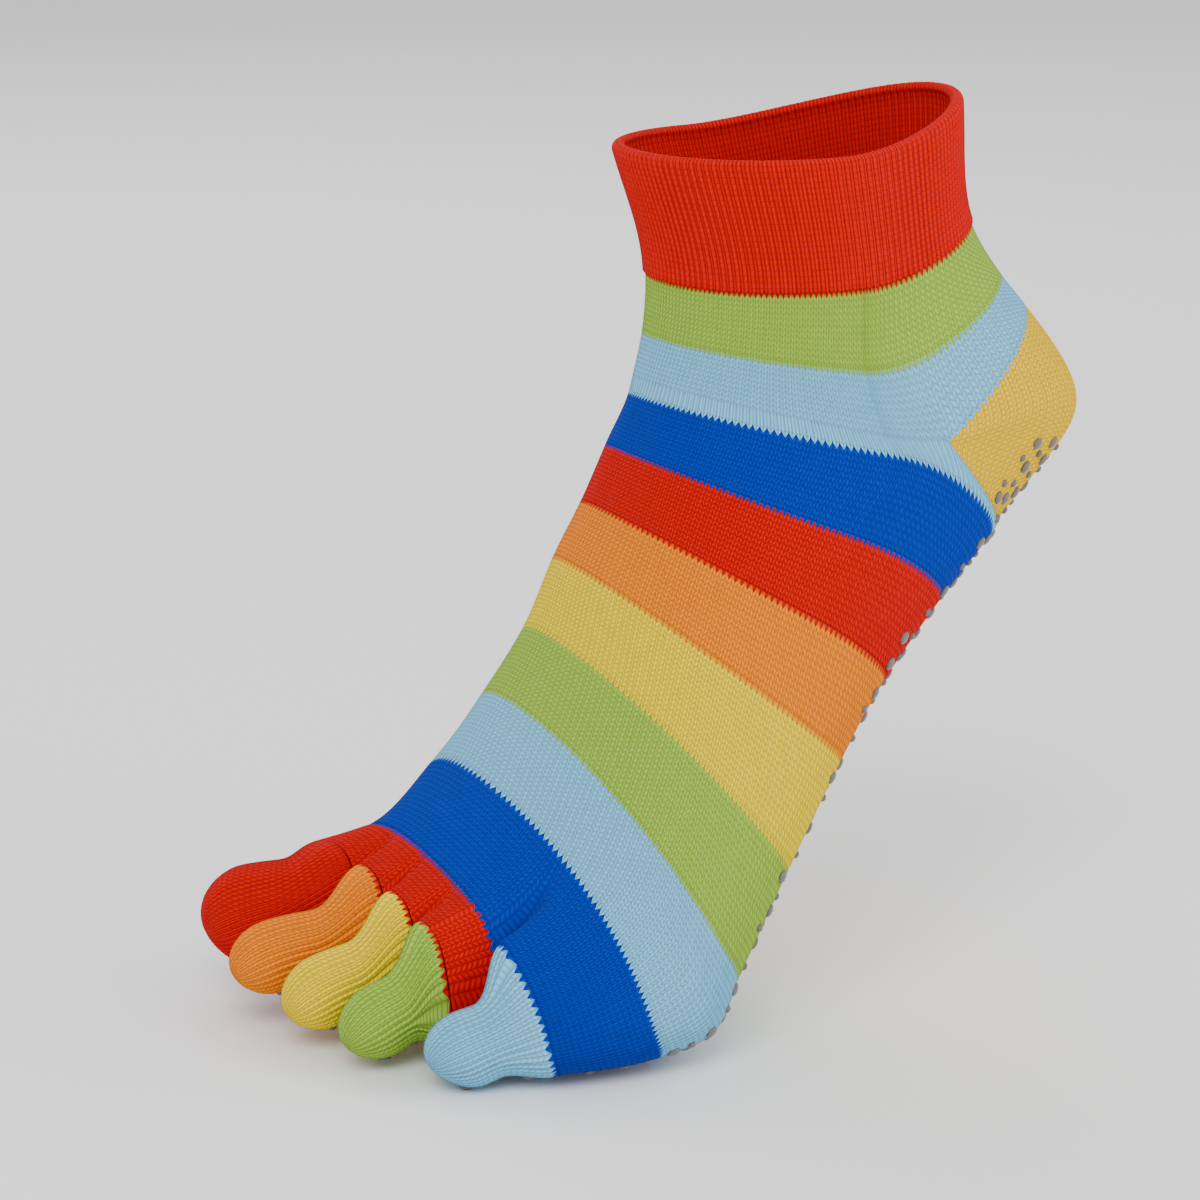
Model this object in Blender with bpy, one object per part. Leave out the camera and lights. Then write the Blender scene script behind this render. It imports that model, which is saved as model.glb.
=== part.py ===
"""Striped toe sock for a left foot, in the form it has when it is worn with the heel raised.

The sock is a knitted tube. Its courses, the rows of stitches that run round the foot, are worked
out from one short table, and every stripe is the stretch of tube between two of those courses.
The heel pocket fills the wedge that the ankle stripe leaves open at the back. At the front the
tube parts into the toe base, which carries the four larger toes, and the little toe.

Metres, +Z up, toes towards -X, the little toe towards -Y. The origin is the middle of the mouth.
"""

import math
from collections import namedtuple

import bpy
import numpy as np

# Driving sizes
FOOT_LENGTH = 0.240
BALL_WIDTH = 0.091
ANKLE_WIDTH = 0.064
CUFF_HEIGHT = 0.028
CUFF_PROUD = 0.0006
CUFF_FLARE = 0.0020
CUFF_WALL = 0.0028
KNIT_WALL = 0.0018
SEAM_GAP = 0.0003
TOE_SEAM_GAP = 0.0008
TOE_GAP = 0.0012
HEEL_CORNER = math.radians(111)
COURSE_FULLNESS = 0.33
HEEL_FULLNESS = 0.69
WEB_DEPTH = 0.30
WEB_SQUARENESS = 0.55

# How finely the knit is faceted
AROUND = 40
AROUND_TOE = 20
ROWS_STRIPE = 2
ROWS_CUFF = 3
LIP_STEPS = 5
ROWS_UNDER_HEEL = 1
ROWS_HEEL = 6
ROWS_TOE = 5
BASE_CORNER_STEPS = 9
BASE_FREE_STEPS = 5
PARTS_UNDER_TOE = 4
CORNER_GAPS = 3

# One row for each course where the yarn changes, from the cuff down to the toes, and one where the
# ball of the foot is fullest. front, side and back are where the course crosses the shin, the
# ankle bone's side and the rear or sole, as side view positions in shares of FOOT_LENGTH: x runs
# back from under the ball and z up from the lowest toe. spread is 0 where the course is as wide as
# the ankle and 1 where it is as wide as the ball. shift moves it towards the little toe and sweep
# sets its big-toe side ahead, shares of BALL_WIDTH. tilt is how far its little-toe side drops for
# each metre out. instep and sole are the corner powers of its front and rear halves, 1 for an
# ellipse and less for a flatter instep or sole.
Course = namedtuple(
    "Course", "front_x front_z side_x side_z back_x back_z spread shift sweep tilt instep sole")

COURSES = {
    "cuff_seam": Course(0.050, 0.667, 0.167, 0.671, 0.345, 0.713, 0.00, 0.00, 0.00, 0.00, 0.95, 0.95),
    "green_end": Course(0.046, 0.617, 0.171, 0.600, 0.382, 0.660, 0.00, 0.00, 0.00, 0.00, 0.95, 0.95),
    "heel_line": Course(0.033, 0.579, 0.192, 0.540, 0.391, 0.527, 0.03, 0.00, 0.00, 0.00, 0.95, 0.90),
    "sky_end": Course(0.029, 0.567, 0.200, 0.525, 0.367, 0.413, 0.05, 0.00, 0.00, 0.00, 0.95, 0.85),
    "blue_end": Course(0.008, 0.521, 0.163, 0.458, 0.308, 0.363, 0.12, 0.00, 0.00, 0.02, 0.95, 0.85),
    "red_end": Course(-0.013, 0.471, 0.121, 0.392, 0.238, 0.300, 0.23, 0.00, 0.00, 0.04, 0.95, 0.80),
    "orange_end": Course(-0.038, 0.421, 0.088, 0.321, 0.179, 0.246, 0.39, 0.00, 0.00, 0.07, 0.95, 0.80),
    "yellow_end": Course(-0.058, 0.358, 0.042, 0.242, 0.113, 0.163, 0.63, 0.00, 0.01, 0.10, 0.95, 0.80),
    "lime_end": Course(-0.088, 0.296, -0.008, 0.163, 0.050, 0.088, 0.91, 0.00, 0.02, 0.13, 0.92, 0.80),
    "ball_pad": Course(-0.105, 0.265, -0.035, 0.125, 0.018, 0.046, 0.98, 0.00, 0.03, 0.15, 0.90, 0.75),
    "pale_end": Course(-0.121, 0.233, -0.075, 0.106, -0.033, 0.036, 1.00, 0.00, 0.04, 0.16, 0.88, 0.78),
    "toe_line": Course(-0.178, 0.172, -0.159, 0.083, -0.121, 0.034, 0.83, -0.02, 0.02, 0.17, 0.92, 0.80),
    "web_line": Course(-0.214, 0.148, -0.205, 0.076, -0.165, 0.028, 0.78, -0.06, 0.03, 0.17, 0.76, 0.78),
}
FOOT_ROWS = list(COURSES)[3:]
# How far the heel pocket's upper and lower edges stand off the heel line at the back, (x, z)
HEEL_UPPER = (0.016, 0.104)
HEEL_LOWER = (-0.015, -0.107)
# Which way the mouth lies from the cuff seam, (x, z), for each metre of cuff
CUFF_LEAN = (-0.20, 0.98)

# One row for each toe, from the big toe out. web is where the toe ends and the next one starts,
# in half widths of the course from its middle. tip_x, tip_z (shares of FOOT_LENGTH) and tip_out
# (share of BALL_WIDTH) are the end of the toe, and half_width and half_height its thickest
# section, shares of BALL_WIDTH. lift raises the toe's back between its root and its tip.
Toe = namedtuple("Toe", "name yarn web tip_x tip_out tip_z half_width half_height lift")
TOES = (
    Toe("toe_big", "red", -0.40, -0.311, -0.557, 0.066, 0.138, 0.110, 0.00),
    Toe("toe_second", "orange", -0.07, -0.324, -0.310, 0.053, 0.078, 0.090, 0.01),
    Toe("toe_third", "yellow", 0.25, -0.305, -0.110, 0.037, 0.080, 0.090, 0.01),
    Toe("toe_fourth", "green", 0.57, -0.283, 0.088, 0.029, 0.080, 0.090, 0.00),
    Toe("toe_little", "sky", 1.00, -0.238, 0.285, 0.027, 0.092, 0.092, -0.01),
)
TOE_BULB = 0.70
TOE_WAIST = 0.88
TOE_DOME = 1.15
TOE_NOD = 0.35
TOE_BLEND = 0.45
# Where the rings of a toe's round end lie, in radians from the start of the dome
CAP_TURNS = (0.45, 0.87, 1.25)
# How far ahead along a toe its direction is taken, a share of its length
LOOK_AHEAD = 0.02
FOURTH = 3
LITTLE = 4

# Each stripe's node name and yarn, with the courses that it runs through
STRIPES = (
    ("band_leg_green", "green", "cuff_seam", "green_end"),
    ("band_instep_blue", "blue", "sky_end", "blue_end"),
    ("band_instep_red", "red", "blue_end", "red_end"),
    ("band_arch_orange", "orange", "red_end", "orange_end"),
    ("band_arch_yellow", "yellow", "orange_end", "yellow_end"),
    ("band_arch_green", "green", "yellow_end", "lime_end"),
    ("band_ball_sky", "sky", "lime_end", "ball_pad", "pale_end"),
    ("band_ball_blue", "blue", "pale_end", "toe_line"),
)

# Yarn colours as they look, each 0 to 1
YARNS = {
    "red": (0.87, 0.03, 0.09),
    "orange": (0.97, 0.60, 0.15),
    "yellow": (0.99, 0.86, 0.13),
    "heel": (0.99, 0.80, 0.18),
    "green": (0.64, 0.77, 0.40),
    "sky": (0.58, 0.81, 0.91),
    "blue": (0.08, 0.29, 0.70),
}


def clear_scene():
    for obj in list(bpy.data.objects):
        bpy.data.objects.remove(obj)


def yarn_material(yarn):
    """A matt knit material of one yarn colour, made once and shared."""
    name = f"yarn_{yarn}"
    material = bpy.data.materials.get(name)
    if material is None:
        material = bpy.data.materials.new(name)
        material.use_nodes = True
        shader = material.node_tree.nodes["Principled BSDF"]
        linear = [channel**2.2 for channel in YARNS[yarn]]
        shader.inputs["Base Color"].default_value = (*linear, 1.0)
        shader.inputs["Roughness"].default_value = 0.9
        shader.inputs["Metallic"].default_value = 0.0
    return material


def power_of(values, power):
    return np.sign(values) * np.abs(values) ** power


def unit(vectors):
    length = np.linalg.norm(vectors, axis=-1, keepdims=True)
    return vectors / np.maximum(length, 1e-9)


def angles_round(count):
    """Angles round the tube: 0 at the shin, a quarter turn at the little-toe side."""
    return np.arange(count) * 2 * math.pi / count


def course_at(course, rise, out):
    """Points of a course from its own coordinates: rise is 1 at the shin and -1 at the sole, and
    out runs from -1 at the big-toe side to 1 at the little-toe side."""
    front = np.array([course.front_x, course.front_z]) * FOOT_LENGTH
    side = np.array([course.side_x, course.side_z]) * FOOT_LENGTH
    back = np.array([course.back_x, course.back_z]) * FOOT_LENGTH
    slope = front - side
    bow = np.where(rise < 0, rise**2, 0.0)
    view = side + rise[..., None] * slope + bow[..., None] * (back - side + slope)
    half = (ANKLE_WIDTH + course.spread * (BALL_WIDTH - ANKLE_WIDTH)) / 2
    x = view[..., 0] + course.sweep * BALL_WIDTH * out / 2
    y = -(half * out + course.shift * BALL_WIDTH)
    z = view[..., 1] - course.tilt * half * out
    return np.stack([x, y, z], axis=-1)


def course_round(name, angle):
    """A course's points at a set of angles round the tube."""
    course = COURSES[name]
    power = np.where(np.cos(angle) > 0, course.instep, course.sole)
    rise, out = power_of(np.cos(angle), power), power_of(np.sin(angle), power)
    if name == "toe_line":
        inner, outer = sum(toe_span(FOURTH)) / 2, sum(toe_span(LITTLE)) / 2
        near_web = (out > inner) & (out < outer)
        rise = np.where(near_web, rise * np.maximum(lobe(out), 1 - WEB_DEPTH), rise)
    return course_at(course, rise, out)


def heel_share(angle):
    """How open the heel wedge is: 0 up to its corner, 1 at the back."""
    from_front = np.minimum(angle % (2 * math.pi), 2 * math.pi - angle % (2 * math.pi))
    part = np.clip((from_front - HEEL_CORNER) / (math.pi - HEEL_CORNER), 0, 1)
    return np.sin(part * math.pi / 2)


def heel_edge(angle, offset):
    """The heel line, opened by the heel pocket's offset at the back."""
    share = heel_share(angle)[..., None]
    move = np.array([offset[0], 0, offset[1]]) * FOOT_LENGTH
    return course_round("heel_line", angle) + share * move


def mouth_round(angle):
    """The sock's mouth: the cuff seam carried up the leg and flared."""
    lean = np.array([CUFF_LEAN[0], 0, CUFF_LEAN[1]]) * CUFF_HEIGHT
    flare = np.stack([-np.cos(angle), -np.sin(angle), np.zeros_like(angle)], axis=-1) * CUFF_FLARE
    return course_round("cuff_seam", angle) + lean + flare


def mouth_centre():
    rim = mouth_round(angles_round(AROUND))
    return (rim.max(axis=0) + rim.min(axis=0)) / 2


def chord_directions(points):
    """Unit directions at each of a run of points, along the first axis, like a circle's tangent."""
    steps = points[1:] - points[:-1]
    lengths = np.maximum(np.linalg.norm(steps, axis=-1, keepdims=True), 1e-9)
    ways = steps / lengths
    inner = ways[:-1] * lengths[1:] + ways[1:] * lengths[:-1]
    return unit(np.concatenate([ways[:1], inner, ways[-1:]]))


def curve_between(start, start_way, end, end_way, share, fullness=COURSE_FULLNESS):
    """A cubic curve between two points that leaves and arrives along the given directions."""
    reach = np.linalg.norm(end - start, axis=-1, keepdims=True) * fullness
    near = start + start_way * reach
    far = end - end_way * reach
    left = 1 - share
    return (left**3 * start + 3 * left**2 * share * near
            + 3 * left * share**2 * far + share**3 * end)


def course_middle(name):
    return course_round(name, angles_round(AROUND)).mean(axis=0)


def toe_line_way():
    """The one direction in which the pieces on either side of the toe line face each other."""
    return unit(course_middle("web_line") - course_middle("pale_end"))


def web_line_way():
    """The one direction in which the toe base and the toes face each other."""
    return unit(course_middle("web_line") - course_middle("toe_line"))


class Tube:
    """The tube's courses, and the directions in which it runs through them, at some angles."""

    def __init__(self, angle):
        self.share = heel_share(angle)[..., None]
        upper = heel_edge(angle, HEEL_UPPER)
        lower = heel_edge(angle, HEEL_LOWER)
        leg = [mouth_round(angle), course_round("cuff_seam", angle), course_round("green_end", angle)]
        foot = [course_round(name, angle) for name in FOOT_ROWS]
        above = chord_directions(np.stack(leg + [upper]))
        below = chord_directions(np.stack(foot))
        across = chord_directions(np.stack(leg + [upper] + foot))
        upper_way = unit((1 - self.share) * across[3] + self.share * above[3])
        lower_way = unit((1 - self.share) * across[3] + self.share * below[0])
        below[0] = unit((1 - self.share) * across[4] + self.share * below[0])
        names = ["mouth", "cuff_seam", "green_end", "upper", "lower"] + FOOT_ROWS
        points = leg + [upper, lower] + foot
        ways = list(above[:3]) + [upper_way, lower_way] + list(below)
        self.points = dict(zip(names, points))
        self.ways = dict(zip(names, ways))
        self.facings = dict(self.ways)
        self.facings["toe_line"] = np.broadcast_to(toe_line_way(), points[0].shape)

    def normals(self, name):
        """Outward normals along a course, square to the way in which its two sides face."""
        return loop_normals(self.points[name], self.facings[name])

    def strip(self, first, last, count, fullness=COURSE_FULLNESS,
              gap_first=SEAM_GAP / 2, gap_last=SEAM_GAP / 2):
        """Rows of points and of normals from one course to another, set back by their gaps."""
        start = self.points[first] + self.facings[first] * gap_first
        end = self.points[last] - self.facings[last] * gap_last
        rows = [curve_between(start, self.ways[first], end, self.ways[last], i / count, fullness)
                for i in range(count + 1)]
        rows = np.stack(rows)
        normals = surface_normals(rows)
        normals[0] = self.normals(first)
        normals[-1] = self.normals(last)
        return rows, normals


def loop_normals(loop, facing):
    """Outward normals of a loop of points, square to the facing direction."""
    round_way = np.roll(loop, -1, axis=0) - np.roll(loop, 1, axis=0)
    return unit(np.cross(facing, round_way))


def surface_normals(rows):
    """Outward normals of rows of points that close round the tube."""
    round_way = np.roll(rows, -1, axis=1) - np.roll(rows, 1, axis=1)
    down_way = np.gradient(rows, axis=0)
    return unit(np.cross(down_way, round_way))


def grid_faces(rows, columns, closed=True):
    """Quads of a grid whose columns run round the tube as the angle grows, facing outwards."""
    faces = []
    for i in range(rows - 1):
        for j in range(columns if closed else columns - 1):
            k = (j + 1) % columns
            faces.append((i * columns + j, (i + 1) * columns + j, (i + 1) * columns + k, i * columns + k))
    return faces


def add_piece(name, yarn, points, faces):
    """A named object from a closed skin, placed with the mouth at the origin."""
    mesh = bpy.data.meshes.new(name)
    placed = np.asarray(points) - mouth_centre()
    mesh.from_pydata([tuple(point) for point in placed], [], faces)
    mesh.materials.append(yarn_material(yarn))
    mesh.shade_smooth()
    mesh.set_sharp_from_angle(angle=math.radians(50))
    obj = bpy.data.objects.new(name, mesh)
    bpy.context.scene.collection.objects.link(obj)
    return obj


def add_shell(name, yarn, skin, normals, faces, wall=KNIT_WALL):
    """A knitted piece from its outer skin: the inner skin lies a wall inside it, and the open
    edges are closed between the two."""
    skin = np.asarray(skin)
    count = len(skin)
    inner = skin - np.asarray(normals) * wall
    edges = {(face[i - 1], face[i]) for face in faces for i in range(len(face))}
    rim = [(b, a, a + count, b + count) for a, b in sorted(edges) if (b, a) not in edges]
    lining = [tuple(corner + count for corner in reversed(face)) for face in faces]
    return add_piece(name, yarn, np.concatenate([skin, inner]), faces + lining + rim)


def stripe(name, yarn, *courses):
    """One stripe of the tube, a ring through its courses."""
    tube = Tube(angles_round(AROUND))
    rows, normals = [], []
    for first, last in zip(courses[:-1], courses[1:]):
        gap_first = SEAM_GAP / 2 if first == courses[0] else 0
        gap_last = SEAM_GAP / 2 if last == courses[-1] else 0
        gap_last = TOE_SEAM_GAP / 2 if last == "toe_line" else gap_last
        more_rows, more_normals = tube.strip(first, last, ROWS_STRIPE, gap_first=gap_first, gap_last=gap_last)
        rows = rows[:-1] + list(more_rows)
        normals = normals[:-1] + list(more_normals)
    faces = grid_faces(len(rows), AROUND)
    return add_shell(name, yarn, np.concatenate(rows), np.concatenate(normals), faces)


def cuff():
    """The ribbed cuff, a thicker wall with a round lip at the mouth."""
    grid, normals = Tube(angles_round(AROUND)).strip("mouth", "cuff_seam", ROWS_CUFF, gap_first=0)
    grid = grid + normals * CUFF_PROUD
    radius = CUFF_WALL / 2
    up_way = unit(grid[0] - grid[1])
    middle = grid[0] - up_way * radius - normals[0] * radius
    outer = list(grid[:0:-1])
    lip = [middle + normals[0] * radius * math.cos(turn) + up_way * radius * math.sin(turn)
           for turn in np.linspace(0, math.pi, LIP_STEPS)]
    inner = [row - normal * CUFF_WALL for row, normal in zip(grid[1:], normals[1:])]
    points = np.concatenate(outer + lip + inner)
    rows = len(outer) + len(lip) + len(inner)
    faces = [tuple(reversed(face)) for face in grid_faces(rows, AROUND)]
    last = (rows - 1) * AROUND
    for j in range(AROUND):
        k = (j + 1) % AROUND
        faces.append((last + k, k, j, last + j))
    return add_piece("cuff", "red", points, faces)


def ankle_sky():
    """The stripe that the heel pocket interrupts: one piece, open over the heel."""
    tube = Tube(angles_round(AROUND))
    opened = tube.share[:, 0] > 0
    edge_gap = SEAM_GAP / 2 * opened[:, None]
    above, above_normals = tube.strip("green_end", "upper", ROWS_STRIPE, gap_last=edge_gap)
    below, below_normals = tube.strip("lower", "sky_end", ROWS_UNDER_HEEL, gap_first=edge_gap)
    joined = unit(above_normals[-1] + below_normals[0])
    above_normals[-1][~opened] = joined[~opened]
    skin = list(above.reshape(-1, 3))
    normals = list(above_normals.reshape(-1, 3))
    columns = np.arange(AROUND)
    blocks = [[columns + i * AROUND for i in range(len(above))]]
    split = columns + (len(above) - 1) * AROUND
    split[opened] = len(skin) + np.arange(opened.sum())
    skin.extend(below[0][opened])
    normals.extend(below_normals[0][opened])
    blocks.append([split])
    for row, row_normals in zip(below[1:], below_normals[1:]):
        blocks[1].append(columns + len(skin))
        skin.extend(row)
        normals.extend(row_normals)
    faces = []
    for block in blocks:
        for top, bottom in zip(block[:-1], block[1:]):
            for j in range(AROUND):
                k = (j + 1) % AROUND
                faces.append((int(top[j]), int(bottom[j]), int(bottom[k]), int(top[k])))
    return add_shell("band_ankle_sky", "sky", skin, normals, faces)


def heel_pocket():
    """The pocket over the heel, drawn round from the upper to the lower edge of the wedge."""
    tube = Tube(angles_round(AROUND))
    opened = np.flatnonzero(tube.share[:, 0] > 0)
    rows, normals = tube.strip("upper", "lower", ROWS_HEEL, fullness=HEEL_FULLNESS)
    grid = rows[:, opened]
    columns = len(opened)
    skin = list(grid.reshape(-1, 3))
    skin_normals = list(normals[:, opened].reshape(-1, 3))
    faces = grid_faces(len(grid), columns, closed=False)
    for column, corner, flip in ((0, opened[0] - 1, False), (columns - 1, (opened[-1] + 1) % AROUND, True)):
        corner_point = tube.points["upper"][corner]
        way = unit(grid[ROWS_HEEL // 2, column] - corner_point)
        tip = len(skin)
        skin.append(corner_point + way * SEAM_GAP * CORNER_GAPS)
        skin_normals.append(unit(normals[0, corner] + normals[-1, corner]))
        for i in range(ROWS_HEEL):
            face = (tip, (i + 1) * columns + column, i * columns + column)
            faces.append(tuple(reversed(face)) if flip else face)
    return add_shell("heel_pocket", "heel", skin, skin_normals, faces)


def toe_span(index):
    """The inner and outer web of a toe, in half widths from the middle of the course."""
    inner = TOES[index - 1].web if index else -1.0
    return inner, TOES[index].web


def lobe(out):
    """Height of the toes' rounded backs, 1 over the middle of a toe and 0 at a web."""
    height = np.ones_like(out)
    for index in range(len(TOES)):
        inner, outer = toe_span(index)
        middle = (inner + outer) / 2
        part = np.clip(np.abs(out - middle) / (outer - inner) * 2, 0, 1)
        rounded = (1 - part ** (2 / WEB_SQUARENESS)) ** (WEB_SQUARENESS / 2)
        free = (index == 0) & (out < middle) | (index == LITTLE) & (out > middle)
        here = (out >= inner) & (out <= outer) & ~free
        height = np.where(here, rounded, height)
    return height


def full_rise(course, out, top):
    """How far up or down the course reaches at a place across it."""
    power = np.where(top, course.instep, course.sole)
    reach = (1 - np.minimum(np.abs(out), 1) ** (2 / power)) ** (power / 2)
    return np.where(top, reach, -reach)


def slice_points(course, out, height):
    """Points of a course from places across it and signed heights from -1 to 1."""
    rise = np.abs(height) * full_rise(course, out, height >= 0)
    return course_at(course, rise, out)


def base_outline():
    """Places and heights round the toe base, from the top of the fourth toe over its web wall."""
    inner, outer = toe_span(FOURTH)
    middle = (inner + outer) / 2
    turn = np.linspace(0, math.pi, BASE_CORNER_STEPS)
    corner_out = middle + (outer - middle) * np.sin(turn) ** WEB_SQUARENESS
    corner_height = power_of(np.cos(turn), WEB_SQUARENESS)
    run = [inner + (outer - inner) / PARTS_UNDER_TOE]
    for index in range(FOURTH - 1, 0, -1):
        inner, outer = toe_span(index)
        run += [outer - (outer - inner) * part / PARTS_UNDER_TOE for part in range(PARTS_UNDER_TOE)]
    inner, outer = toe_span(0)
    run += [outer, outer - (outer - inner) / PARTS_UNDER_TOE]
    middle = (inner + outer) / 2
    turns = np.linspace(0, math.pi / 2, BASE_FREE_STEPS)
    free = [middle + (inner - middle) * math.sin(turn) for turn in turns]
    run = np.array(run + free)
    out = np.concatenate([corner_out, run, run[-2::-1]])
    height = np.concatenate([corner_height, -np.ones(len(run)), np.ones(len(run) - 1)])
    return out, height


def toe_base():
    """The short tube under the four larger toes, scalloped where they part."""
    out, height = base_outline()
    ridge = np.maximum(lobe(out), 1 - WEB_DEPTH)
    scallop = np.where(np.abs(height) == 1, ridge * height, height)
    start = slice_points(COURSES["toe_line"], out, height) + toe_line_way() * TOE_SEAM_GAP / 2
    end = slice_points(COURSES["web_line"], out, scallop) - web_line_way() * TOE_SEAM_GAP / 2
    rows = np.stack([start + (end - start) * i / ROWS_STRIPE for i in range(ROWS_STRIPE + 1)])
    normals = surface_normals(rows)
    normals[0] = loop_normals(start, toe_line_way())
    normals[-1] = loop_normals(end, web_line_way())
    faces = grid_faces(len(rows), len(out))
    return add_shell("toe_base", "red", rows.reshape(-1, 3), normals.reshape(-1, 3), faces)


def toe(index):
    """One toe: a tube from its slice of the web line to a round end."""
    row = TOES[index]
    little = index == LITTLE
    course = COURSES["toe_line" if little else "web_line"]
    before = COURSES["pale_end" if little else "toe_line"]
    half_course = (ANKLE_WIDTH + course.spread * (BALL_WIDTH - ANKLE_WIDTH)) / 2
    inner, outer = toe_span(index)
    inner += 0 if index == 0 else TOE_GAP / 2 / half_course
    outer -= 0 if little else TOE_GAP / 2 / half_course
    angle = angles_round(AROUND_TOE)
    middle, half = (inner + outer) / 2, (outer - inner) / 2
    outward = np.sin(angle)
    free = (outward < -1e-6) & (index == 0) | (outward > 1e-6) & little
    squareness = np.where(free, course.instep, WEB_SQUARENESS)
    out = middle + half * power_of(outward, squareness)
    height = np.where(free, np.sign(np.round(np.cos(angle), 6)), power_of(np.cos(angle), WEB_SQUARENESS))
    root = slice_points(course, out, height)
    centre = root.mean(axis=0)
    behind = slice_points(before, out, height).mean(axis=0)
    start_way = unit(centre - behind)
    tip = np.array([row.tip_x * FOOT_LENGTH, -row.tip_out * BALL_WIDTH, row.tip_z * FOOT_LENGTH])
    straight = tip - centre
    length = np.linalg.norm(straight)
    side = unit(root[AROUND_TOE // 4] - root[3 * AROUND_TOE // 4])
    end_way = unit(unit(straight) - np.array([0, 0, TOE_NOD]))
    wide, high = row.half_width * BALL_WIDTH, row.half_height * BALL_WIDTH
    dome = TOE_DOME * high / length
    body = [(share * (1 - dome), 1.0) for share in np.linspace(0, 1, ROWS_TOE)]
    cap = [(1 - dome + dome * math.sin(turn), math.cos(turn)) for turn in CAP_TURNS]
    points = []
    for share, close in body + cap + [(1.0, 0.0)]:
        spot = curve_between(centre, start_way, tip, end_way, share)
        ahead = curve_between(centre, start_way, tip, end_way, min(share + LOOK_AHEAD, 1 + LOOK_AHEAD))
        axis = unit(ahead - spot)
        across = unit(side - axis * (side @ axis))
        upward = np.cross(axis, across)
        upward = upward if upward[2] > 0 else -upward
        spot = spot + upward * row.lift * BALL_WIDTH * 4 * share * (1 - share)
        if close == 0:
            points.append(spot)
            continue
        swell = TOE_WAIST + (1 - TOE_WAIST) * min(share / TOE_BULB, 1)
        round_points = (spot + np.outer(np.sin(angle), across) * wide * swell * close
                        + np.outer(np.cos(angle), upward) * high * swell * close)
        mix = min(share / TOE_BLEND, 1)
        mix = mix * mix * (3 - 2 * mix)
        root_points = root + (spot - centre)
        points.extend(root_points * (1 - mix) + round_points * mix)
    facing = toe_line_way() if little else web_line_way()
    points = np.array(points)
    points[:AROUND_TOE] += facing * TOE_SEAM_GAP / 2
    rows = points[:-1].reshape(-1, AROUND_TOE, 3)
    normals = surface_normals(rows)
    normals[0] = loop_normals(rows[0], facing)
    normals = np.concatenate([normals.reshape(-1, 3), [end_way]])
    faces = grid_faces(len(rows), AROUND_TOE)
    pole = len(points) - 1
    last = pole - AROUND_TOE
    for j in range(AROUND_TOE):
        faces.append((last + j, pole, last + (j + 1) % AROUND_TOE))
    return add_shell(row.name, row.yarn, points, normals, faces)


def main():
    clear_scene()
    cuff()
    for name, yarn, *courses in STRIPES:
        stripe(name, yarn, *courses)
    ankle_sky()
    heel_pocket()
    toe_base()
    for index in range(len(TOES)):
        toe(index)


if __name__ == "__main__":
    main()
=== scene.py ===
"""Striped toe sock for a left foot in its worn form, with knitted stitches and rubber grip dots.

Metres, +Z up, toes towards -X, the little toe towards -Y. The origin is the middle of the mouth.
"""

import logging
import math
from dataclasses import dataclass
from enum import Enum
from typing import NamedTuple, Optional, Sequence

import bpy
import numpy as np
from mathutils import Matrix, Vector


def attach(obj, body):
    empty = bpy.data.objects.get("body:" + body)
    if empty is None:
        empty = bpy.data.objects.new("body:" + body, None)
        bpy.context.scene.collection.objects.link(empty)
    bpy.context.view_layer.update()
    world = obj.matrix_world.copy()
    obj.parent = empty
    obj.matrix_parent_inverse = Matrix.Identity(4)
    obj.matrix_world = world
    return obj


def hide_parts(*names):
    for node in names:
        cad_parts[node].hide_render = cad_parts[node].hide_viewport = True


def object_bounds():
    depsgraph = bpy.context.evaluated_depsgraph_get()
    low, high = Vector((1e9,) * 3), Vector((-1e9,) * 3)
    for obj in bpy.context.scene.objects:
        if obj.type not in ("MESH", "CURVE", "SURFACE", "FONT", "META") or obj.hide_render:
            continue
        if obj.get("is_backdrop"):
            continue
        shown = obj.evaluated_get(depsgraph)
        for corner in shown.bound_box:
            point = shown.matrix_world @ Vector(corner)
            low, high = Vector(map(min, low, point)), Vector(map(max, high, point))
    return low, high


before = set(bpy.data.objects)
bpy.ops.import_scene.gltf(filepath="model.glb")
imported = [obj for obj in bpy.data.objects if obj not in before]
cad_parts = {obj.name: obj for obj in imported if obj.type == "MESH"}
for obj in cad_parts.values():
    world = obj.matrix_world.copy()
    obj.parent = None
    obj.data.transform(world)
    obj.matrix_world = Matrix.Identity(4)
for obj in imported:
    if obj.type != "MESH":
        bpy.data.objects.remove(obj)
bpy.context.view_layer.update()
log = logging.getLogger("toe_sock")

# Driving sizes, as in the part
FOOT_LENGTH = 0.240
BALL_WIDTH = 0.091
ANKLE_WIDTH = 0.064
CUFF_HEIGHT = 0.028
CUFF_PROUD = 0.0006
CUFF_FLARE = 0.0020
CUFF_WALL = 0.0028
KNIT_WALL = 0.0018
TOE_GAP = 0.0012
COURSE_FULLNESS = 0.33
HEEL_CORNER = math.radians(111)
HEEL_FULLNESS = 0.69
WEB_DEPTH = 0.30
WEB_SQUARENESS = 0.55

# Stitches
COLUMNS_PER_WALE = 4
WALES = 160
CUFF_RIBS = 128
CUFF_COLUMNS_PER_RIB = 6
COURSE_PITCH = 0.00125
TOE_WALE_PITCH = 0.0015
ROW_PITCH = 0.0009
LINING_ROWS = 4
CUFF_LINING_ROWS = 12
TOE_LINING_ROWS = 16
BASE_WALES = 104
TOE_WALES_SPARE = 1.1
WALE_RELIEF = 0.00030
TOE_RELIEF = 0.00060
CUFF_RELIEF = 0.00050

# Rubber dots
DOT_LARGE = 0.0015
DOT_SMALL = 0.0009
DOT_HEIGHT = 0.0007
DOT_PITCH = 0.0052


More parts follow.
